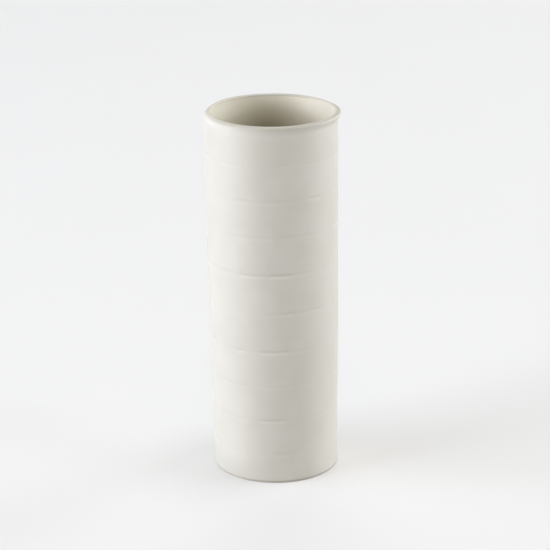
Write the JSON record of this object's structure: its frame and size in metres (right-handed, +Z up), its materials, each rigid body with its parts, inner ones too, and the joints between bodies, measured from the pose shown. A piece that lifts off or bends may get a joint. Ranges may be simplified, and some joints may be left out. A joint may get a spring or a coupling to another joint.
{
  "type": "cylinder vase",
  "caption": "Tall straight-sided cylinder vase in matt off-white glazed stoneware, with faint turned lines round the wall, a softly rolled bare lip and a turned foot ring.",
  "frame": {"origin": "centre of the plane that the foot ring rests on", "axes": "+Z up the vase's own axis, from the foot to the mouth; X and Y are equivalent, because the vase is turned"},
  "size_m": [0.1106, 0.1106, 0.3],
  "materials": {
    "bare_clay": "matte",
    "outer_glaze": "matte",
    "inner_glaze": "satin"
  },
  "bodies": {
    "root": {"floor_disc": "bare_clay", "clay_wall": "bare_clay", "corner_coil": "bare_clay", "outer_glaze": "outer_glaze", "inner_glaze": "inner_glaze"}
  },
  "joints": []
}
